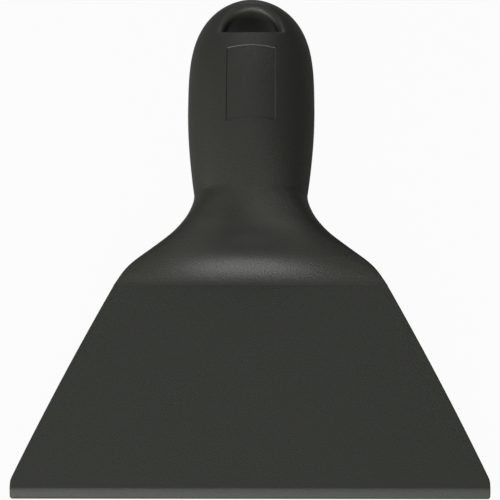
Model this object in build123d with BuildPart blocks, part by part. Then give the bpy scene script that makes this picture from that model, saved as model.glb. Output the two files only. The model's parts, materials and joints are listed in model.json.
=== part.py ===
from build123d import *
import math
import os

# Pan scraper, lying face up on a table, in millimetres.
# X runs across the scraper, Y from the scraping edge to the end of the handle, Z up.
# The origin is the middle of the scraping edge, where it touches the table.
# The scraper rests on that edge and on the back of its grip, so it leans a few degrees.
# Sizes are taken in the leaning frame: x across, y along the scraper, z out of its face.

# Blade, a stiff plate moulded first
edge_width = 140.0
corner_height = 4.9
foot_height = 65.0
foot_width = 83.2
side_bow = 0.6
foot_thickness = 4.0
tip_thickness = 2.8
bevel_height = 2.6
edge_land = 1.2

# Root and tang of the blade, which the handle is moulded around
root_thickness = 2.4
root_side_cover = 3.2
root_rise = 18.0
root_top_width = 38.0
root_slot_gap = 6.5
root_slot_width = 5.0
root_slot_count = 3
tang_width = 18.0
tang_cover = 8.0
tang_tip_radius = 6.0
tang_hole_count = 4

# Handle, the grip and the shoulder that are moulded over the root and tang
handle_end_height = 162.6
shoulder_rise = 30.4
palm_width = 40.0
palm_depth = 12.0
neck_width = 35.2
neck_depth = 9.2
end_depth = 7.5
grip_rim = 0.35
hollow_depth = 1.4
end_round = 9.0
end_cap = 0.05

# Hang eye in the end of the handle
eye_cover = 6.6
eye_length = 9.0
eye_radius = 8.0
eye_bow = 0.8
eye_rim_radius = 2.6
eye_lip_radius = 0.5

# Recessed bare panel on the face of the grip, below the eye
panel_gap = 4.8
panel_width = 15.2
panel_arch = 0.6
panel_depth = 0.6

# Overrun of the cuts
overrun = 5.0

# Forms of the handle, as exponents
dome_power = 3.2
dome_root = 0.455
round_power = 2.4
waist_power = 0.92
grip_power = 0.58
shoulder_power = 1.25

# Shares: how far up the grip from neck to end the palm is, how far up from neck to panel top
# the panel starts, a slot's length, a hole's radius and the tang's spare length over their
# spacing, and the hollow's half width over the section's half width
palm_share = 0.44
panel_start_share = 0.453
root_slot_share = 0.57
tang_hole_share = 0.34
tang_spare_share = 0.5
hollow_width_share = 0.55

# Shares of the shoulder, from the foot (0) up to the neck (1). Each row gives the height, the
# spread of the width from neck to foot, the swell of the depth from foot to neck, how much the
# section is a plate (1) and not a grip (0), and the depth of the thumb hollow.
shoulder_shares = (
    (0.000, 1.000, 0.000, 1.00, 0.00),
    (0.118, 0.904, 0.150, 0.90, 0.00),
    (0.206, 0.815, 0.350, 0.80, 0.00),
    (0.294, 0.707, 0.500, 0.68, 0.08),
    (0.378, 0.584, 0.600, 0.55, 0.40),
    (0.466, 0.447, 0.675, 0.42, 0.80),
    (0.554, 0.314, 0.724, 0.30, 1.00),
    (0.642, 0.205, 0.766, 0.20, 0.90),
    (0.733, 0.115, 0.813, 0.12, 0.65),
    (0.821, 0.051, 0.868, 0.06, 0.36),
    (0.909, 0.012, 0.931, 0.02, 0.12),
)
grip_shares = (0.0, 0.18, 0.38, 0.58, 0.79)
dome_angles = (0.0, 15.0, 30.0, 42.0, 53.0, 62.0, 70.0, 77.0, 82.5)
section_steps = 10

# Worked out from the sizes above
foot_depth = foot_thickness / 2
tip_depth = tip_thickness / 2
root_depth = root_thickness / 2
foot_half = foot_width / 2
neck_half = neck_width / 2
palm_half = palm_width / 2
neck_height = foot_height + shoulder_rise
palm_height = neck_height + palm_share * (handle_end_height - neck_height)
dome_length = handle_end_height - palm_height
round_start = handle_end_height - end_round
depth_fall = (palm_depth - neck_depth) / (palm_height - neck_height) ** 2
cut_depth = palm_depth + overrun

# Places along the scraper, from the end of the handle down to the root
eye_top_height = handle_end_height - eye_cover
eye_low_height = eye_top_height - eye_length
panel_top_height = eye_low_height - panel_gap
panel_low_height = neck_height + panel_start_share * (panel_top_height - neck_height)
tang_end_height = eye_low_height - tang_cover
root_top_height = foot_height + root_rise

# Holes of the tang and slots of the root, spread over the room that they have
tang_length = tang_end_height - root_top_height
tang_hole_pitch = tang_length / (tang_hole_count + tang_spare_share)
root_low_half = foot_half - root_side_cover
root_top_half = root_top_width / 2
root_slot_climb = root_slot_gap / root_rise
root_slot_half = root_low_half + root_slot_climb * (root_top_half - root_low_half)
root_slot_pitch = 2 * root_slot_half / root_slot_count
side_middle_half = (edge_width / 2 + foot_half) / 2 + side_bow
side_middle_height = (corner_height + foot_height) / 2

# The back follows a parabola from neck to palm, so the height where the table touches it and
# the lean are exact: the line from the scraping edge that is tangent to the parabola.
rest_height = math.sqrt(palm_height**2 - (palm_depth - tip_depth) / depth_fall)
lean = math.atan(2 * depth_fall * (palm_height - rest_height))

# The leaning frame, with the lower corner of the scraping edge on the origin
lying = Plane(
    origin=(0, -tip_depth * math.sin(lean), tip_depth * math.cos(lean)),
    x_dir=(1, 0, 0),
    z_dir=(0, -math.sin(lean), math.cos(lean)),
)
side_on = Plane(origin=lying.origin, x_dir=lying.y_dir, z_dir=(1, 0, 0))


def station_plane(height):
    """Plane of the cross section at a height along the scraper, seen from its end."""
    centre = lying.from_local_coords((0, height, 0))
    return Plane(origin=centre, x_dir=(1, 0, 0), z_dir=-lying.y_dir)


def grip_depth(height):
    """Half depth of the grip: a parabola on each side of the palm, rounded off over the end."""
    if height > palm_height:
        climb_share = (height - palm_height) / dome_length
        depth = palm_depth - (palm_depth - end_depth) * climb_share**2
    else:
        depth = palm_depth - depth_fall * (palm_height - height) ** 2
    if height > round_start:
        run_share = (height - round_start) / end_round
        depth *= (1 - run_share**round_power) ** (1 / round_power)
    return depth


def shoulder_station(row):
    """Height, half width, half depth, rim, fullness and hollow of a shoulder section."""
    climb_share, spread_share, swell_share, plate_share, hollow_share = row
    height = foot_height + climb_share * (neck_height - foot_height)
    half_width = neck_half + spread_share * (foot_half - neck_half)
    depth = foot_depth + swell_share * (neck_depth - foot_depth)
    rim = grip_rim + plate_share * (foot_depth - grip_rim)
    power = grip_power + plate_share * (shoulder_power - grip_power)
    return height, half_width, depth, rim, power, hollow_share * hollow_depth


def grip_station(height_share):
    """The same for a section of the grip between the neck and the palm."""
    height = neck_height + height_share * (palm_height - neck_height)
    swell = math.sin(height_share * math.pi / 2) ** waist_power
    half_width = neck_half + swell * (palm_half - neck_half)
    return height, half_width, grip_depth(height), grip_rim, grip_power, 0


def dome_station(height):
    """The same for a section between the palm and the end of the handle."""
    climb_share = (height - palm_height) / dome_length
    taper = (1 - climb_share**dome_power) ** dome_root
    depth = grip_depth(height)
    return height, palm_half * taper, depth, grip_rim * taper, grip_power, 0


def section_points(station):
    """Points across the front of a section: a rim, a crown over it and the thumb hollow."""
    half_width, depth, rim, power, hollow = station[1:]
    points = []
    for step in range(section_steps + 1):
        across_share = -math.cos(math.pi * step / section_steps)
        crown = max(0, 1 - across_share**2) ** power
        dip_share = min(1, abs(across_share) / hollow_width_share)
        dip = hollow * math.cos(dip_share * math.pi / 2) ** 2
        rise = rim + (depth - rim) * crown - dip
        points.append((half_width * across_share, rise))
    return points


dome_heights = [palm_height + dome_length * math.sin(math.radians(angle)) for angle in dome_angles]
dome_heights.append(handle_end_height - end_cap)
stations = [shoulder_station(row) for row in shoulder_shares]
stations += [grip_station(share) for share in grip_shares]
stations += [dome_station(height) for height in dome_heights]

# Blade with its root and tang
with BuildPart() as blade:
    with BuildSketch(lying) as plate:
        with BuildLine():
            edge_line = Polyline(
                (-edge_width / 2, corner_height),
                (-edge_width / 2, 0),
                (edge_width / 2, 0),
                (edge_width / 2, corner_height),
            )
            root_line = Polyline(
                (foot_half, foot_height),
                (root_low_half, foot_height),
                (root_top_half, root_top_height),
                (-root_top_half, root_top_height),
                (-root_low_half, foot_height),
                (-foot_half, foot_height),
            )
            ThreePointArc(edge_line @ 1, (side_middle_half, side_middle_height), root_line @ 0)
            ThreePointArc(root_line @ 1, (-side_middle_half, side_middle_height), edge_line @ 0)
        make_face()
        with Locations((0, root_top_height)):
            Rectangle(tang_width, 2 * tang_length)
        fillet(plate.vertices().group_by(Axis.Y)[-1], radius=tang_tip_radius)
        with Locations((0, foot_height + root_slot_gap)):
            with GridLocations(root_slot_pitch, 0, root_slot_count, 1):
                SlotOverall(root_slot_share * root_slot_pitch, root_slot_width, mode=Mode.SUBTRACT)
        with Locations((0, root_top_height + tang_length / 2)):
            with GridLocations(0, tang_hole_pitch, 1, tang_hole_count):
                Circle(tang_hole_share * tang_hole_pitch, mode=Mode.SUBTRACT)
    extrude(amount=cut_depth, both=True)
    with BuildSketch(side_on):
        with BuildLine():
            Polyline(
                (0, -tip_depth),
                (0, edge_land - tip_depth),
                (bevel_height, tip_depth),
                (foot_height, foot_depth),
                (foot_height, root_depth),
                (tang_end_height, root_depth),
                (tang_end_height, -root_depth),
                (foot_height, -root_depth),
                (foot_height, -foot_depth),
                close=True,
            )
        make_face()
    extrude(amount=edge_width, both=True, mode=Mode.INTERSECT)
blade.part.label = "blade"

# Grip and shoulder in the solid, lofted through their cross sections
with BuildPart() as grip:
    for station in stations:
        front_points = section_points(station)
        back_points = [(across, -out) for across, out in reversed(front_points)]
        with BuildSketch(station_plane(station[0])):
            with BuildLine():
                front = Spline(front_points)
                back = Spline(back_points)
                Line(front @ 1, back @ 0)
                Line(back @ 1, front @ 0)
            make_face()
    loft()

# What the recessed panel takes away: a block over the grip, down to a copy of its crowned face
with BuildPart() as panel:
    with BuildSketch(lying):
        with BuildLine():
            low = ThreePointArc(
                (-panel_width / 2, panel_low_height - panel_arch),
                (0, panel_low_height),
                (panel_width / 2, panel_low_height - panel_arch),
            )
            top = ThreePointArc(
                (panel_width / 2, panel_top_height - panel_arch),
                (0, panel_top_height),
                (-panel_width / 2, panel_top_height - panel_arch),
            )
            Line(low @ 1, top @ 0)
            Line(top @ 1, low @ 0)
        make_face()
    extrude(amount=cut_depth)
    add(grip.part.moved(Location(lying.z_dir * -panel_depth)), mode=Mode.SUBTRACT)

# Handle, moulded round the root and tang, with the eye, its soft rim and the panel
with BuildPart() as handle:
    add(grip.part)
    with BuildSketch(lying):
        with BuildLine():
            bow = ThreePointArc(
                (-eye_radius, eye_low_height + eye_bow),
                (0, eye_low_height),
                (eye_radius, eye_low_height + eye_bow),
            )
            ThreePointArc(bow @ 1, (0, eye_top_height), bow @ 0)
        make_face()
    extrude(amount=cut_depth, both=True, mode=Mode.SUBTRACT)
    eye_arch = handle.faces().filter_by(GeomType.CYLINDER).sort_by(Axis.Y)[-1]
    arch_edges = eye_arch.edges().filter_by(GeomType.LINE, reverse=True).sort_by(Axis.Z)
    fillet(arch_edges[-1], radius=eye_rim_radius)
    eye_lip, eye_arch = handle.faces().filter_by(GeomType.CYLINDER).sort_by(Axis.Y)
    arch_edges = eye_arch.edges().filter_by(GeomType.LINE, reverse=True).sort_by(Axis.Z)
    lip_edges = eye_lip.edges().filter_by(GeomType.LINE, reverse=True)
    fillet(lip_edges + arch_edges[0], radius=eye_lip_radius)
    add(panel.part, mode=Mode.SUBTRACT)
    add(blade.part, mode=Mode.SUBTRACT)
handle.part.label = "handle"

os.makedirs("parts", exist_ok=True)
export_step(blade.part, "parts/blade.step")
export_step(handle.part, "parts/handle.step")
print("rest height", rest_height, "lean", math.degrees(lean))
print("handle", handle.part.is_valid, handle.part.volume, "blade", blade.part.is_valid, blade.part.volume)
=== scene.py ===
import json
import logging
import math
from dataclasses import dataclass, field

import bmesh
import bpy
import numpy as np
from mathutils import Matrix, Vector

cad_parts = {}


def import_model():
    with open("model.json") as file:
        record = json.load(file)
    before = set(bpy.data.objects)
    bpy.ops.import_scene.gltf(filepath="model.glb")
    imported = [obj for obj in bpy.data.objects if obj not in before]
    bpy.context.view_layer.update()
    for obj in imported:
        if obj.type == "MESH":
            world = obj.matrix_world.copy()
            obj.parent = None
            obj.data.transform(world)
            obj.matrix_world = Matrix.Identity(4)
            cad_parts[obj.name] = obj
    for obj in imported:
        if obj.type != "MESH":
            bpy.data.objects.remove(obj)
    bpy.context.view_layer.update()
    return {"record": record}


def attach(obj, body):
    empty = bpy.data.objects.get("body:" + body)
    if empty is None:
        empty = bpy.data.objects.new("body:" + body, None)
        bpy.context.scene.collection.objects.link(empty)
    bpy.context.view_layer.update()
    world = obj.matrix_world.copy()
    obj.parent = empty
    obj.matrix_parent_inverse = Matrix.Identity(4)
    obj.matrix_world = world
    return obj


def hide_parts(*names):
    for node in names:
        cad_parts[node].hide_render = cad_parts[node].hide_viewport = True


log = logging.getLogger("pan_scraper")

# Shapes are worked out in millimetres in the scraper's own leaning frame: x across it, y from
# the scraping edge to the end of the handle, z out of its face. Blender's unit is the metre.
MM = 0.001

# Points nearer than this, in millimetres, are joined.
WELD = 0.0005

# Two places that differ by less than this, in millimetres, are the same.
HAIR = 1e-9

# Edges that turn by more degrees than this stay crisp.
CREASE_ANGLE = 32.0

# Half thickness of the scraping edge, in millimetres.
TIP_DEPTH = 1.4

# Rows by the seam of blade and handle: their distance from it over the width of its groove.
SEAM_SHARES = np.array([0.0, 0.1, 0.3, 0.6, 1.0, 1.6])


def fair_curve(knots: np.ndarray, values: np.ndarray, at: np.ndarray) -> np.ndarray:
    """Natural cubic spline: cubic pieces whose slope and bend agree at each knot.

    Args:
        knots: rising places of the knots.
        values: what the curve is at the knots.
        at: places to work it out.

    Returns:
        The curve's values.
    """
    step = np.diff(knots)
    rise = np.diff(values) / step
    count = len(knots)
    system = np.eye(count)
    inner = np.arange(1, count - 1)
    system[inner, inner - 1] = step[:-1]
    system[inner, inner] = 2 * (step[:-1] + step[1:])
    system[inner, inner + 1] = step[1:]
    load = np.zeros(count)
    load[inner] = 6 * np.diff(rise)
    bend = np.linalg.solve(system, load)
    piece = np.clip(np.searchsorted(knots, at) - 1, 0, count - 2)
    low = at - knots[piece]
    high = knots[piece + 1] - at
    width = step[piece]
    curved = bend[piece] * high**3 + bend[piece + 1] * low**3
    straight_low = values[piece] / width - bend[piece] * width / 6
    straight_high = values[piece + 1] / width - bend[piece + 1] * width / 6
    return curved / (6 * width) + straight_low * high + straight_high * low


def soft_step(share: np.ndarray) -> np.ndarray:
    """Goes from 0 to 1 with level ends: three times the square less twice the cube."""
    share = np.clip(share, 0.0, 1.0)
    return share * share * (3.0 - 2.0 * share)


def edge_drop(gap: np.ndarray, radius: float) -> np.ndarray:
    """How far a rounded edge falls: a quarter circle that starts one radius in from the edge.

    Args:
        gap: distance from the edge.
        radius: radius of the rounding.

    Returns:
        The fall below the face.
    """
    share = np.clip(1.0 - gap / radius, 0.0, 1.0)
    return radius * (1.0 - np.sqrt(1.0 - share**2))


def quads(index: np.ndarray) -> np.ndarray:
    """Joins a grid of point numbers into four-sided faces.

    Args:
        index: point numbers, rows by columns.

    Returns:
        The faces, four numbers in a row.
    """
    corners = (index[:-1, :-1], index[:-1, 1:], index[1:, 1:], index[1:, :-1])
    return np.stack(corners, axis=-1).reshape(-1, 4)


class Shell:
    """Gathers grids of points and makes one closed mesh of them."""

    def __init__(self, name: str, lean: "Lean") -> None:
        """Starts an empty shell.

        Args:
            name: name of the piece.
            lean: the leaning frame that the points are in.
        """
        self.name = name
        self.lean = lean
        self.points: list[np.ndarray] = []
        self.faces: list[np.ndarray] = []
        self.count = 0

    def add(self, x: np.ndarray, y: np.ndarray, z: np.ndarray, closed: bool = False) -> None:
        """Adds one grid of points, in millimetres.

        Args:
            x: places across.
            y: places along.
            z: places out of the face.
            closed: whether the last column joins the first.
        """
        x, y, z = np.broadcast_arrays(x, y, z)
        index = self.count + np.arange(x.size).reshape(x.shape)
        if closed:
            index = np.hstack([index, index[:, :1]])
        self.points.append(np.column_stack([x.ravel(), y.ravel(), z.ravel()]))
        self.faces.append(quads(index))
        self.count += x.size

    def piece(self) -> bpy.types.Object:
        """Joins the grids where their points meet and makes the object.

        Returns:
            The new object, with its place in its mesh.
        """
        mesh = bpy.data.meshes.new(self.name)
        points = self.lean.placed(np.vstack(self.points))
        mesh.from_pydata(points.tolist(), [], np.vstack(self.faces).tolist())
        work = bmesh.new()
        work.from_mesh(mesh)
        bmesh.ops.remove_doubles(work, verts=work.verts, dist=WELD * MM)
        bmesh.ops.dissolve_degenerate(work, edges=work.edges, dist=WELD * MM)
        bmesh.ops.recalc_face_normals(work, faces=work.faces)
        open_edges = sum(1 for edge in work.edges if len(edge.link_faces) != 2)
        work.to_mesh(mesh)
        work.free()
        mesh.shade_smooth()
        mesh.set_sharp_from_angle(angle=math.radians(CREASE_ANGLE))
        piece = bpy.data.objects.new(self.name, mesh)
        bpy.context.scene.collection.objects.link(piece)
        log.info("%s: %d faces, %d open edges", self.name, len(mesh.polygons), open_edges)
        return piece


@dataclass(frozen=True)
class Lean:
    """The leaning frame, which rests on the lower corner of the scraping edge.

    Args:
        angle: lean in radians.
        tip_depth: half thickness of the scraping edge, in millimetres.
    """

    angle: float
    tip_depth: float

    @property
    def along(self) -> np.ndarray:
        """Direction from the scraping edge to the end of the handle."""
        return np.array([0.0, math.cos(self.angle), math.sin(self.angle)])

    @property
    def out(self) -> np.ndarray:
        """Direction out of the face."""
        return np.array([0.0, -math.sin(self.angle), math.cos(self.angle)])

    def placed(self, points: np.ndarray) -> np.ndarray:
        """Points of the leaning frame in Blender's frame: metres, standing on the table.

        Args:
            points: places in millimetres, one in a row.

        Returns:
            The places in metres.
        """
        across = np.array([1.0, 0.0, 0.0])
        axes = np.stack([across, self.along, self.out])
        return (points @ axes + self.out * self.tip_depth) * MM


@dataclass(frozen=True)
class Finish:
    """A satin moulded plastic with a fine spark-eroded grain.

    Args:
        name: name of the material.
        colour: base colour, linear.
        roughness: spread of its gloss.
        grain: size of the grain, in grains a metre.
        grain_depth: depth of the grain, in metres.
        grain_detail: how many finer layers the grain has.
    """

    name: str
    colour: tuple[float, float, float]
    roughness: float
    grain: float
    grain_depth: float
    grain_detail: float = 2.0

    def material(self) -> bpy.types.Material:
        """Makes the material.

        Returns:
            The finished material.
        """
        material = bpy.data.materials.new(self.name)
        material.use_nodes = True
        tree = material.node_tree
        shader = tree.nodes["Principled BSDF"]
        shader.inputs["Base Color"].default_value = (*self.colour, 1.0)
        shader.inputs["Roughness"].default_value = self.roughness
        place = tree.nodes.new("ShaderNodeTexCoord")
        noise = tree.nodes.new("ShaderNodeTexNoise")
        noise.inputs["Scale"].default_value = self.grain
        noise.inputs["Detail"].default_value = self.grain_detail
        bump = tree.nodes.new("ShaderNodeBump")
        bump.inputs["Distance"].default_value = self.grain_depth
        tree.links.new(place.outputs["Object"], noise.inputs["Vector"])
        tree.links.new(noise.outputs["Fac"], bump.inputs["Height"])
        tree.links.new(bump.outputs["Normal"], shader.inputs["Normal"])
        return material


BLADE_PLASTIC = Finish("blade_plastic", (0.036, 0.039, 0.031), 0.5, 3000.0, 0.00014)
HANDLE_PLASTIC = Finish("handle_plastic", (0.040, 0.041, 0.034), 0.36, 3000.0, 0.00014)


@dataclass
class Blade:
    """The stiff plate, with a bevel on its face down to a narrow land at the scraping edge."""

    lean: Lean

    # Sizes in millimetres, and the power that makes the bevel steepen
    edge_width: float = 140.0
    corner_height: float = 4.9
    foot_height: float = 65.0
    foot_width: float = 83.2
    foot_depth: float = 2.0
    side_bow: float = 0.6
    bevel_height: float = 2.6
    edge_land: float = 1.2
    corner_radius: float = 0.5
    kink_radius: float = 1.0
    side_radius: float = 0.35
    land_radius: float = 0.12
    bevel_power: float = 1.35
    seam_depth: float = 0.02
    seam_width: float = 0.35

    # Where the mesh has its rows and columns, and how many
    row_step: float = 1.6
    across_steps: int = 60
    edge_rows: tuple[float, ...] = (0.0, 0.02, 0.06, 0.12, 0.2, 0.35, 0.5, 0.8)
    rim_shares: tuple[float, ...] = (0.0, 0.02, 0.08, 0.2, 0.4, 0.7, 1.0, 1.6, 3.0)
    bevel_start: float = 1.0
    bevel_gap: float = 0.3
    bevel_rows: int = 8
    ridge_before: float = 0.2
    ridge_after: float = 0.3
    ridge_rows: int = 8
    kink_before: float = 0.6
    kink_after: float = 6.0
    kink_rows: int = 16
    wall_points: int = 5

    def half_width(self, height: np.ndarray) -> np.ndarray:
        """Half width: upright by the scraping edge, then slanted and slightly bowed outwards.

        Args:
            height: places along the scraper.

        Returns:
            The half widths.
        """
        half = self.edge_width / 2
        slope = (half - self.foot_width / 2) / (self.foot_height - self.corner_height)
        past = height - self.corner_height
        soft = (past + np.sqrt(past**2 + (self.kink_radius * slope) ** 2)) / 2
        share = np.clip(past / (self.foot_height - self.corner_height), 0.0, 1.0)
        width = half - slope * soft + self.side_bow * 4 * share * (1 - share)
        return width - edge_drop(height, self.corner_radius)

    def front(self, height: np.ndarray) -> np.ndarray:
        """Height of the face: an even taper down to the ridge, then a bevel that steepens.

        Args:
            height: places along the scraper.

        Returns:
            The heights over the middle plane.
        """
        tip = self.lean.tip_depth
        climb = (height - self.bevel_height) / (self.foot_height - self.bevel_height)
        past = np.clip(1.0 - height / self.bevel_height, 0.0, 1.0)
        drop = (2 * tip - self.edge_land) * past**self.bevel_power
        return tip + np.maximum(climb, 0.0) * (self.foot_depth - tip) - drop

    def back(self, height: np.ndarray) -> np.ndarray:
        """Depth of the back: an even taper."""
        tip = self.lean.tip_depth
        return tip + (self.foot_depth - tip) * height / self.foot_height

    def rows(self) -> np.ndarray:
        """Places of the rows, close together at the edge, the ridge, the kink and the seam.

        Returns:
            The places, rising.
        """
        edge = np.array(self.edge_rows)
        bevel_stop = self.bevel_height - self.bevel_gap
        bevel = np.linspace(self.bevel_start, bevel_stop, self.bevel_rows)
        band = np.linspace(-self.ridge_before, self.ridge_after, self.ridge_rows)
        ridge = self.bevel_height + band
        kink_start = self.bevel_height + self.kink_before
        kink = np.linspace(kink_start, self.corner_height + self.kink_after, self.kink_rows)
        seam = self.foot_height - self.seam_width * SEAM_SHARES[::-1]
        count = int((seam[0] - kink[-1]) / self.row_step)
        plate = np.linspace(kink[-1], seam[0], count)[1:-1]
        return np.concatenate([edge, bevel, ridge, kink, plate, seam])

    def build(self) -> bpy.types.Object:
        """Makes the plate from two sheets, its sides and its two ends.

        Returns:
            The blade.
        """
        height = self.rows()[:, None]
        half = self.half_width(height)
        rim = self.side_radius * np.array(self.rim_shares)
        share = np.linspace(-1.0, 1.0, self.across_steps + 1)[None, :]
        x = np.hstack([rim[:-1] - half, share * (half - rim[-1]), (half - rim[:-1])[:, ::-1]])
        y = np.broadcast_to(height, x.shape)
        fall = edge_drop(half - np.abs(x), self.side_radius)
        seam = self.seam_depth * (1 - soft_step((self.foot_height - y) / self.seam_width))
        top = self.front(y) - fall - seam - edge_drop(y, self.land_radius)
        low = -self.back(y) + fall + seam
        shell = Shell("blade", self.lean)
        shell.add(x, y, top)
        shell.add(x, y, low)
        level = np.linspace(0.0, 1.0, self.wall_points)
        for side in (x[:, 0], x[:, -1]):
            column = 0 if side[0] < 0 else -1
            shell.add(
                side[:, None],
                y[:, :1],
                top[:, column, None] * (1 - level) + low[:, column, None] * level,
            )
        for row in (0, -1):
            shell.add(
                x[row][:, None],
                y[row][:, None],
                top[row][:, None] * (1 - level) + low[row][:, None] * level,
            )
        return shell.piece()


# Rows of the shoulder from the foot (0) up to the neck (1): climb, spread of the width from neck
# to foot, height of the rim, squareness and fullness of the rounding at the rim, and then the
# height of the face at each of CREST_SHARES of the half width. Heights are in millimetres.
CREST_SHARES = np.array([0.0, 0.2, 0.4, 0.6, 0.8, 1.0])
SHOULDER = np.array(
    [
        (0.000, 1.000, 2.00, 14.0, 0.50, 2.00, 2.00, 2.00, 2.00, 2.00, 2.00),
        (0.025, 0.980, 2.02, 14.0, 0.50, 2.08, 2.08, 2.08, 2.07, 2.06, 2.05),
        (0.060, 0.952, 2.10, 14.0, 0.50, 2.44, 2.44, 2.42, 2.36, 2.31, 2.26),
        (0.118, 0.904, 2.25, 14.0, 0.50, 3.38, 3.38, 3.28, 3.05, 2.85, 2.65),
        (0.206, 0.815, 2.40, 14.0, 0.50, 5.58, 5.42, 4.90, 4.22, 3.52, 3.00),
        (0.294, 0.692, 2.35, 10.0, 0.50, 6.80, 6.65, 6.10, 5.28, 4.25, 3.35),
        (0.378, 0.553, 2.40, 9.0, 0.50, 6.78, 6.78, 6.60, 6.05, 4.98, 3.90),
        (0.466, 0.411, 2.35, 8.0, 0.50, 6.32, 6.50, 6.85, 6.75, 5.85, 4.80),
        (0.554, 0.279, 2.20, 7.5, 0.50, 6.00, 6.40, 7.12, 7.32, 6.65, 5.70),
        (0.642, 0.177, 1.95, 7.0, 0.51, 6.30, 6.80, 7.68, 7.92, 7.40, 6.70),
        (0.733, 0.097, 1.60, 6.0, 0.53, 6.92, 7.34, 8.08, 8.25, 8.02, 7.65),
        (0.821, 0.045, 1.15, 4.8, 0.55, 7.72, 7.98, 8.46, 8.66, 8.64, 8.55),
        (0.909, 0.010, 0.70, 3.7, 0.56, 8.48, 8.62, 8.88, 9.02, 9.05, 9.05),
    ]
)


# Places on the grip, from the neck (0) to the palm (1), that the shoulder's curves run on through.
GRIP_SHARES = np.array([0.0, 0.06, 0.14, 0.24])


@dataclass
class Handle:
    """The grip and shoulder, with a hang eye in its end and a bare panel sunk in its face."""

    lean: Lean

    # Sizes of the grip and shoulder in millimetres
    foot_height: float = 65.0
    foot_width: float = 83.2
    end_height: float = 162.5
    neck_height: float = 95.4
    palm_height: float = 124.968
    palm_width: float = 40.0
    palm_depth: float = 12.0
    neck_width: float = 35.2
    neck_depth: float = 9.2
    end_depth: float = 7.5
    rim: float = 0.35
    end_round: float = 6.0

    # Powers of the outline's, the end's and the section's curves
    dome_power: float = 3.2
    dome_root: float = 0.455
    round_power: float = 2.4
    waist_power: float = 0.92
    grip_power: float = 0.57
    grip_square: float = 1.8
    neck_square: float = 3.0

    # The hang eye, the panel and the seam, in millimetres
    eye_low: float = 147.0
    eye_top: float = 156.0
    eye_half: float = 8.0
    eye_bow: float = 0.8
    eye_flare: float = 3.4
    eye_back_flare: float = 0.5
    lip_radius: float = 0.45
    lip_band: float = 0.8
    panel_low: float = 116.6
    panel_top: float = 142.2
    panel_half: float = 7.6
    panel_arch: float = 0.6
    panel_depth: float = 0.32
    panel_edge: float = 0.42
    seam_depth: float = 0.02
    seam_width: float = 0.35

    # Where the mesh has its rows, columns and rings, and how many
    patch_height: float = 145.0
    lip_reach: float = 12.0
    tip_gap: float = 0.004
    band_share: float = 0.75
    shoulder_run: float = 6.0
    bend_run: float = 12.0
    bend_gap: float = 0.4
    shoulder_rows: int = 56
    grip_rows: int = 20
    panel_end_rows: int = 9
    panel_rows: int = 30
    last_rows: int = 8
    inner_columns: int = 17
    edge_columns: int = 10
    outer_columns: int = 40
    outline_steps: int = 64
    near_rings: int = 16
    far_rings: int = 22
    eye_wall_points: int = 13
    rim_points: int = 3

    def faired(self, rows: np.ndarray, grip: np.ndarray, height: np.ndarray) -> np.ndarray:
        """Fair curve through the shoulder's rows and the first part of the grip.

        Args:
            rows: values at the shoulder's rows.
            grip: values at the grip's knots.
            height: places along the scraper.

        Returns:
            The curve's values.
        """
        climb = SHOULDER[:, 0] * (self.neck_height - self.foot_height)
        knots = np.concatenate([self.foot_height + climb, self.grip_knots()])
        return fair_curve(knots, np.concatenate([rows, grip]), height)

    def grip_knots(self) -> np.ndarray:
        """Places on the grip that the shoulder's fair curves run on through."""
        return self.neck_height + GRIP_SHARES * (self.palm_height - self.neck_height)

    def sections(self, height: np.ndarray) -> tuple[np.ndarray, ...]:
        """Half width, height of the rim, squareness and fullness of the rounding at each place.

        The shoulder is a fair curve through its rows. From the neck to the palm the half width
        follows a power of a quarter sine, and past the palm a root of one less a power.

        Args:
            height: places along the scraper.

        Returns:
            The four values.
        """
        neck_half = self.neck_width / 2
        spread, rim_rows, square_rows, power_rows = SHOULDER[:, 1:5].T
        half_rows = neck_half + spread * (self.foot_width / 2 - neck_half)
        level = np.ones(len(self.grip_knots()))
        half = self.faired(half_rows, self.grip_half(self.grip_knots()), height)
        rim = self.faired(rim_rows, self.rim * level, height)
        square = self.faired(square_rows, self.squareness(self.grip_knots()), height)
        power = self.faired(power_rows, self.grip_power * level, height)
        run = np.clip((height - self.palm_height) / (self.end_height - self.palm_height), 0.0, 1.0)
        taper = (1.0 - run**self.dome_power) ** self.dome_root
        on_grip = height >= self.neck_height
        half = np.where(on_grip, self.grip_half(height), half) * taper
        rim = np.where(on_grip, self.rim, rim) * taper
        square = np.where(on_grip, self.squareness(height), square)
        power = np.where(on_grip, self.grip_power, power)
        return half, rim, square, power

    def crest(self, share: np.ndarray, height: np.ndarray) -> np.ndarray:
        """Height of the face before its rim is rounded.

        On the shoulder it is a net of fair curves, along the scraper and across it, through the
        heights in the table. On the grip it is the same all the way across.

        Args:
            share: distance from the middle over the half width.
            height: places along the scraper.

        Returns:
            The heights.
        """
        grip = self.grip_depth(self.grip_knots())
        knots = np.concatenate([-CREST_SHARES[:0:-1], CREST_SHARES])
        middle = len(CREST_SHARES) - 1
        total = np.zeros(np.broadcast(share, height).shape)
        for place, column in enumerate(SHOULDER[:, 5:].T):
            weight = np.zeros(len(knots))
            weight[[middle - place, middle + place]] = 1.0
            total = total + fair_curve(knots, weight, share) * self.faired(column, grip, height)
        return np.where(height >= self.neck_height, self.grip_depth(height), total)

    def squareness(self, height: np.ndarray) -> np.ndarray:
        """Squareness of the grip's section, which eases off from the neck to the palm."""
        length = self.palm_height - self.neck_height
        share = np.clip((self.palm_height - height) / length, 0.0, 1.0)
        return self.grip_square + share**2 * (self.neck_square - self.grip_square)

    def grip_half(self, height: np.ndarray) -> np.ndarray:
        """Half width from the neck to the palm: a power of a quarter sine.

        Args:
            height: places along the scraper.

        Returns:
            The half widths.
        """
        share = (height - self.neck_height) / (self.palm_height - self.neck_height)
        swell = np.sin(np.clip(share, 0.0, 1.0) * math.pi / 2) ** self.waist_power
        return (self.neck_width + swell * (self.palm_width - self.neck_width)) / 2

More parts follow.
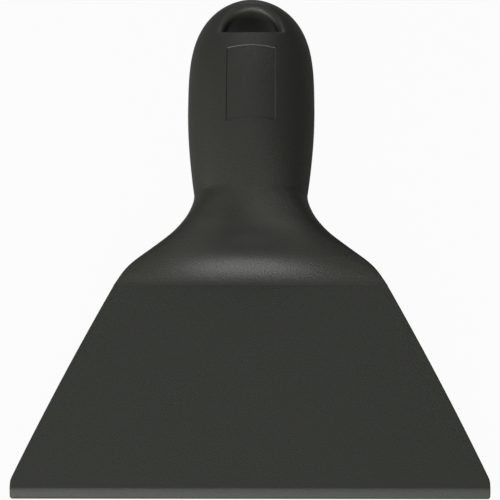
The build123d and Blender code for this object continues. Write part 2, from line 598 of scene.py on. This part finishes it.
    def grip_depth(self, height: np.ndarray) -> np.ndarray:
        """Half depth of the grip: a parabola on each side of the palm, rounded off at the end.

        Args:
            height: places along the scraper.

        Returns:
            The half depths.
        """
        past = height > self.palm_height
        reach = np.where(past, self.end_height, self.neck_height) - self.palm_height
        end = np.where(past, self.end_depth, self.neck_depth)
        share = (height - self.palm_height) / reach
        depth = self.palm_depth - (self.palm_depth - end) * share**2
        run = np.clip((height - self.end_height) / self.end_round + 1.0, 0.0, 1.0)
        return depth * (1.0 - run**self.round_power) ** (1.0 / self.round_power)

    def rise(self, x: np.ndarray, y: np.ndarray) -> np.ndarray:
        """Height of the face over the middle plane: the rim, and the crest rounded down to it.

        Args:
            x: places across.
            y: places along.

        Returns:
            The heights.
        """
        half, rim, square, power = self.sections(y)
        share = np.clip(np.abs(x) / half, 0.0, 1.0)
        crest = self.crest(share, y)
        seam = self.seam_depth * (1 - soft_step((y - self.foot_height) / self.seam_width))
        return rim + (crest - rim) * (1.0 - share**square) ** power - seam

    def panel_drop(self, x: np.ndarray, y: np.ndarray) -> np.ndarray:
        """Depth of the sunk panel: full inside its arched outline, with steep edges.

        Args:
            x: places across.
            y: places along.

        Returns:
            The depths.
        """
        arch = self.panel_arch * np.minimum(np.abs(x) / self.panel_half, 1.0) ** 2
        inside = np.minimum(self.panel_half - np.abs(x), self.panel_top - arch - y)
        inside = np.minimum(inside, y - self.panel_low + arch)
        return self.panel_depth * soft_step(inside / self.panel_edge + 0.5)

    def columns(self) -> tuple[np.ndarray, np.ndarray]:
        """Places of the columns: even inside the panel, close at its side, then out to the rim.

        Returns:
            Fixed distances from the middle, and shares of what is left to the rim.
        """
        band = self.panel_edge * self.band_share
        inner = np.linspace(0.0, self.panel_half - band, self.inner_columns)[:-1]
        edge = np.linspace(self.panel_half - band, self.panel_half + band, self.edge_columns)
        outer = np.sin(np.linspace(0.0, math.pi / 2, self.outer_columns))[1:]
        fixed = np.concatenate([inner, edge, np.full(len(outer), edge[-1])])
        share = np.concatenate([np.zeros(len(inner) + len(edge)), outer])
        fixed = np.concatenate([-fixed[:0:-1], fixed])
        return fixed, np.concatenate([share[:0:-1], share])

    def rows(self) -> np.ndarray:
        """Places of the rows, close together at the seam and at the panel's ends.

        Returns:
            The places, rising.
        """
        seam = self.foot_height + self.seam_width * SEAM_SHARES
        band = self.panel_edge * self.band_share
        low = self.panel_low + np.linspace(-band, band, self.panel_end_rows)
        top = self.panel_top + np.linspace(-band, band, self.panel_end_rows)
        shoulder_top = self.neck_height + self.shoulder_run
        shoulder = np.linspace(seam[-1], shoulder_top, self.shoulder_rows)[1:]
        grip = np.linspace(shoulder[-1], low[0], self.grip_rows)[1:-1]
        middle = np.linspace(low[-1], top[0], self.panel_rows)[1:-1]
        last = np.linspace(top[-1], self.patch_height, self.last_rows)[1:]
        return np.concatenate([seam, shoulder, grip, low, middle, top, last])

    def sheet(self) -> tuple[np.ndarray, np.ndarray]:
        """Places of the grid from the foot to the end patch, its rows bent along the panel's ends.

        Returns:
            Places across and along.
        """
        fixed, share = self.columns()
        height = self.rows()[:, None]
        near = soft_step((height - self.neck_height) / self.bend_run)
        fade = self.patch_height - self.panel_top - self.bend_gap
        near = near * soft_step((self.patch_height - height) / fade)
        bend = self.panel_arch * np.minimum(np.abs(fixed) / self.panel_half, 1.0) ** 2
        y = height - near * bend[None, :]
        half = self.sections(y)[0]
        x = fixed + np.sign(fixed) * share * (half - np.abs(fixed).max())
        return x, y

    def bow(self, x: np.ndarray) -> np.ndarray:
        """The lip of the eye: a shallow bow, lowest in the middle."""
        return self.eye_low + self.eye_bow * (x / self.eye_half) ** 2

    def arch(self) -> tuple[float, float]:
        """Middle and radius of the circle through the eye's two corners and its top.

        Returns:
            Its middle's place along the scraper, and its radius.
        """
        corner = self.eye_low + self.eye_bow
        rise = self.eye_top - corner
        radius = (self.eye_half**2 + rise**2) / (2 * rise)
        return self.eye_top - radius, radius

    def patch(self, bottom: np.ndarray) -> tuple[np.ndarray, np.ndarray, np.ndarray]:
        """Rings of points from the eye out to the outline and to the last row of the grid.

        The lip's share of the rings starts on the bow and goes straight down, and the arch's
        share starts on its circle and goes outwards, so the two meet in a crisp corner.

        Args:
            bottom: places across of the grid's last row.

        Returns:
            Places across and along, ring by ring, and which of them belong to the arch.
        """
        turn = np.sin(np.linspace(0.0, math.pi / 2, self.outline_steps + 1)[1:])
        up = self.patch_height + (self.end_height - self.tip_gap - self.patch_height) * turn
        side = self.sections(up)[0]
        outer_x = np.concatenate([bottom, side, -side[::-1]])
        outer_y = np.concatenate([np.full(len(bottom), self.patch_height), up, up[::-1]])
        lip = np.abs(bottom) <= self.lip_reach
        first = int(np.argmax(lip))
        outer_x = np.roll(outer_x, -first)
        outer_y = np.roll(outer_y, -first)
        lip_count = int(lip.sum())
        arch_count = len(outer_x) - lip_count
        middle, radius = self.arch()
        spot = np.linspace(-1.0, 1.0, lip_count)
        spot = np.sign(spot) * (1.0 - (1.0 - np.abs(spot)) ** 2)
        reach = self.eye_half + self.eye_flare
        lip_x = spot * self.eye_half
        lip_far_x = spot * reach
        start = math.asin((self.bow(self.eye_half) - middle) / radius)
        far_start = math.asin((self.bow(reach) - middle) / (radius + self.eye_flare))
        share = np.linspace(0.0, 1.0, arch_count)
        angle = start + (math.pi - 2 * start) * share
        far_angle = far_start + (math.pi - 2 * far_start) * share
        inner_x = np.concatenate([lip_x, radius * np.cos(angle)])
        inner_y = np.concatenate([self.bow(lip_x), middle + radius * np.sin(angle)])
        far = radius + self.eye_flare
        mid_x = np.concatenate([lip_far_x, far * np.cos(far_angle)])
        below = self.bow(lip_far_x) - self.lip_band
        mid_y = np.concatenate([below, middle + far * np.sin(far_angle)])
        close = (1.0 - np.cos(np.linspace(0.0, math.pi / 2, self.near_rings)))[:, None]
        wide = np.sin(np.linspace(0.0, math.pi / 2, self.far_rings))[1:, None]
        x = np.vstack([inner_x + (mid_x - inner_x) * close, mid_x + (outer_x - mid_x) * wide])
        y = np.vstack([inner_y + (mid_y - inner_y) * close, mid_y + (outer_y - mid_y) * wide])
        of_arch = np.arange(len(outer_x)) >= lip_count
        return x, y, np.broadcast_to(of_arch, x.shape)

    def eye_drop(
        self, x: np.ndarray, y: np.ndarray, of_arch: np.ndarray, flare: float
    ) -> np.ndarray:
        """How far the eye's rim falls: one rounding along the arch and a small one on the lip.

        Args:
            x: places across.
            y: places along.
            of_arch: which of the places belong to the arch.
            flare: radius of the rounding along the arch.

        Returns:
            The falls.
        """
        middle, radius = self.arch()
        arch_gap = np.hypot(x, y - middle) - radius
        lip_gap = self.bow(x) - y
        return np.where(of_arch, edge_drop(arch_gap, flare), edge_drop(lip_gap, self.lip_radius))

    def build(self) -> bpy.types.Object:
        """Makes the front and back sheets, the end patches, the rim, the eye's wall and the foot.

        Returns:
            The handle.
        """
        x, y = self.sheet()
        front = self.rise(x, y) - self.panel_drop(x, y)
        back = -self.rise(x, y)
        shell = Shell("handle", self.lean)
        shell.add(x, y, front)
        shell.add(x, y, back)
        ring_x, ring_y, of_arch = self.patch(x[-1])
        ring_rise = self.rise(ring_x, ring_y)
        ring_front = ring_rise - self.eye_drop(ring_x, ring_y, of_arch, self.eye_flare)
        ring_back = self.eye_drop(ring_x, ring_y, of_arch, self.eye_back_flare) - ring_rise
        shell.add(ring_x, ring_y, ring_front, closed=True)
        shell.add(ring_x, ring_y, ring_back, closed=True)
        level = np.linspace(0.0, 1.0, self.eye_wall_points)[:, None]
        wall = ring_front[0] * (1 - level) + ring_back[0] * level
        shell.add(ring_x[0], ring_y[0], wall, closed=True)
        level = np.linspace(0.0, 1.0, self.rim_points)[:, None]
        for column in (0, -1):
            rim = front[:, column] * (1 - level) + back[:, column] * level
            shell.add(x[:, column], y[:, column], rim)
        foot = front[0] * (1 - level) + back[0] * level
        shell.add(x[0], y[0], foot)
        out_x, out_y = ring_x[-1], ring_y[-1]
        above = out_y > self.patch_height + HAIR
        on_rim = above | (np.abs(out_x) >= np.abs(x[-1]).max() - HAIR)
        start = int(np.argmax(on_rim))
        stop = len(on_rim) - int(np.argmax(on_rim[::-1]))
        edge = slice(start, stop)
        rim = ring_front[-1, edge] * (1 - level) + ring_back[-1, edge] * level
        shell.add(out_x[edge], out_y[edge], rim)
        return shell.piece()


@dataclass(frozen=True)
class View:
    """The photo's view: tilted from the face's normal towards the blade.

    Args:
        tilt: tilt in degrees.
        distance: distance to the point that it looks at, in millimetres.
        aim_height: height of that point along the scraper, in millimetres.
        lens: focal length in millimetres.
        side_turn: turn round the scraper's length in degrees, to the right.
        shift_x: sideways shift of the picture, as a share of its width.
        roll: turn of the camera in degrees, anticlockwise.
        sensor: width of the sensor in millimetres.
    """

    tilt: float = 21.0
    distance: float = 540.0
    aim_height: float = 77.25
    lens: float = 126.75
    side_turn: float = 0.78
    shift_x: float = -0.0013
    roll: float = -0.05
    sensor: float = 36.0

    def camera(self, lean: Lean) -> None:
        """Makes the camera and sets it as the scene's.

        Args:
            lean: the scraper's leaning frame.
        """
        along = Vector(lean.along)
        out = Vector(lean.out)
        target = Vector(lean.placed(np.array([[0.0, self.aim_height, 0.0]]))[0])
        tilt = math.radians(self.tilt)
        level = out * math.cos(tilt) - along * math.sin(tilt)
        across = Vector((1.0, 0.0, 0.0))
        swing = math.radians(self.side_turn)
        way = level * math.cos(swing) + across * math.sin(swing)
        side = across * math.cos(swing) - level * math.sin(swing)
        data = bpy.data.cameras.new("camera")
        data.lens = self.lens
        data.sensor_width = self.sensor
        data.shift_x = self.shift_x
        camera = bpy.data.objects.new("camera", data)
        bpy.context.scene.collection.objects.link(camera)
        turn = Matrix((side, way.cross(side), way)).transposed().to_4x4()
        roll = Matrix.Rotation(math.radians(self.roll), 4, "Z")
        camera.matrix_world = Matrix.Translation(target + way * self.distance * MM) @ turn @ roll
        bpy.context.scene.camera = camera


@dataclass(frozen=True)
class Lamp:
    """A soft square lamp that points at the scraper.

    Args:
        name: name of the lamp.
        place: where it hangs, in metres.
        size: side of the square, in metres.
        power: its power, in watts.
    """

    name: str
    place: tuple[float, float, float]
    size: float
    power: float

    def hang(self, aim: Vector) -> None:
        """Makes the lamp.

        Args:
            aim: the point that it faces.
        """
        data = bpy.data.lights.new(self.name, "AREA")
        data.size = self.size
        data.energy = self.power
        lamp = bpy.data.objects.new(self.name, data)
        lamp.location = self.place
        lamp.rotation_euler = (aim - Vector(self.place)).to_track_quat("-Z", "Y").to_euler()
        bpy.context.scene.collection.objects.link(lamp)


@dataclass
class Studio:
    """A plain floor that shows as white, five soft lamps and a faint even sky.

    Args:
        floor_half: half the side of the floor, in metres.
        floor_colour: the floor's colour under the lamps, linear.
        white: share of white that the camera sees on floor and sky.
        mirrored_white: the same share for reflections.
        sky: strength added to that share for every ray of the sky.
        aim: point that the lamps face, in metres.
        lamps: the lamps.
    """

    floor_half: float = 2.0
    floor_colour: tuple[float, float, float] = (0.35, 0.35, 0.35)
    white: float = 0.96
    mirrored_white: float = 0.07
    sky: float = 0.01
    aim: tuple[float, float, float] = (0.0, 0.08, 0.0)
    lamps: tuple[Lamp, ...] = field(
        default_factory=lambda: (
            Lamp("side_lamp", (-1.4, 0.0, 0.9), 0.8, 3.3),
            Lamp("edge_lamp", (0.0, -1.4, 0.58), 0.8, 12.4),
            Lamp("corner_lamp", (-1.0, -1.2, 0.6), 0.8, 17.5),
            Lamp("top_lamp", (0.0, 0.0, 1.6), 0.8, 1.7),
            Lamp("far_lamp", (0.0, 1.5, 0.75), 0.8, 4.8),
        )
    )

    def shown_white(self, tree: bpy.types.NodeTree) -> bpy.types.NodeSocket:
        """Share of white that a ray sees: nearly all for the camera and some for reflections.

        Args:
            tree: the node tree to build it in.

        Returns:
            The socket with the share.
        """
        path = tree.nodes.new("ShaderNodeLightPath")
        bounced = tree.nodes.new("ShaderNodeMath")
        bounced.operation = "MAXIMUM"
        tree.links.new(path.outputs["Is Glossy Ray"], bounced.inputs[0])
        tree.links.new(path.outputs["Is Transmission Ray"], bounced.inputs[1])
        weaker = tree.nodes.new("ShaderNodeMath")
        weaker.operation = "MULTIPLY"
        weaker.inputs[1].default_value = self.mirrored_white
        tree.links.new(bounced.outputs[0], weaker.inputs[0])
        seen = tree.nodes.new("ShaderNodeMath")
        seen.operation = "MULTIPLY_ADD"
        seen.inputs[1].default_value = self.white
        tree.links.new(path.outputs["Is Camera Ray"], seen.inputs[0])
        tree.links.new(weaker.outputs[0], seen.inputs[2])
        return seen.outputs[0]

    def floor_material(self) -> bpy.types.Material:
        """A grey floor that shows as white, with a faint shadow left.

        Returns:
            The material.
        """
        material = bpy.data.materials.new("floor")
        material.use_nodes = True
        tree = material.node_tree
        tree.nodes.clear()
        output = tree.nodes.new("ShaderNodeOutputMaterial")
        matt = tree.nodes.new("ShaderNodeBsdfDiffuse")
        matt.inputs["Color"].default_value = (*self.floor_colour, 1.0)
        white = tree.nodes.new("ShaderNodeEmission")
        white.inputs["Color"].default_value = (1.0, 1.0, 1.0, 1.0)
        mix = tree.nodes.new("ShaderNodeMixShader")
        tree.links.new(self.shown_white(tree), mix.inputs["Fac"])
        tree.links.new(matt.outputs[0], mix.inputs[1])
        tree.links.new(white.outputs[0], mix.inputs[2])
        tree.links.new(mix.outputs[0], output.inputs["Surface"])
        return material

    def world(self) -> bpy.types.World:
        """A faint even sky that shows as white past the floor's edge.

        Returns:
            The world.
        """
        world = bpy.data.worlds.new("sky")
        world.use_nodes = True
        tree = world.node_tree
        light = tree.nodes["Background"]
        light.inputs["Color"].default_value = (1.0, 1.0, 1.0, 1.0)
        total = tree.nodes.new("ShaderNodeMath")
        total.inputs[1].default_value = self.sky
        tree.links.new(self.shown_white(tree), total.inputs[0])
        tree.links.new(total.outputs[0], light.inputs["Strength"])
        return world

    def build(self) -> None:
        """Lays the floor, hangs the lamps and lights the sky."""
        half = self.floor_half
        corners = [(-half, -half, 0.0), (half, -half, 0.0), (half, half, 0.0), (-half, half, 0.0)]
        mesh = bpy.data.meshes.new("floor")
        mesh.from_pydata(corners, [], [(0, 1, 2, 3)])
        mesh.materials.append(self.floor_material())
        floor = bpy.data.objects.new("floor", mesh)
        bpy.context.scene.collection.objects.link(floor)
        for lamp in self.lamps:
            lamp.hang(Vector(self.aim))
        bpy.context.scene.world = self.world()
        bpy.context.scene.view_settings.view_transform = "Standard"


def dress(piece: bpy.types.Object, finish: Finish, node: str) -> None:
    """Gives a piece its finish and its place in the frame.

    Args:
        piece: the piece.
        finish: its finish.
        node: the CAD node that it stands for.
    """
    piece.data.materials.append(finish.material())
    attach(piece, "root")
    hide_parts(node)


def main() -> None:
    """Builds the scene."""
    logging.basicConfig(level=logging.INFO, format="%(name)s: %(message)s")
    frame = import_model()
    mounts = {mount["name"]: mount for mount in frame["record"]["mounts"]}
    axis = mounts["hang_eye"]["axis"]
    lean = Lean(angle=math.atan2(-axis[1], axis[2]), tip_depth=TIP_DEPTH)
    log.info("lean %.3f degrees", math.degrees(lean.angle))
    dress(Blade(lean).build(), BLADE_PLASTIC, "blade")
    dress(Handle(lean).build(), HANDLE_PLASTIC, "handle")
    View().camera(lean)
    Studio().build()


if __name__ == "__main__":
    main()
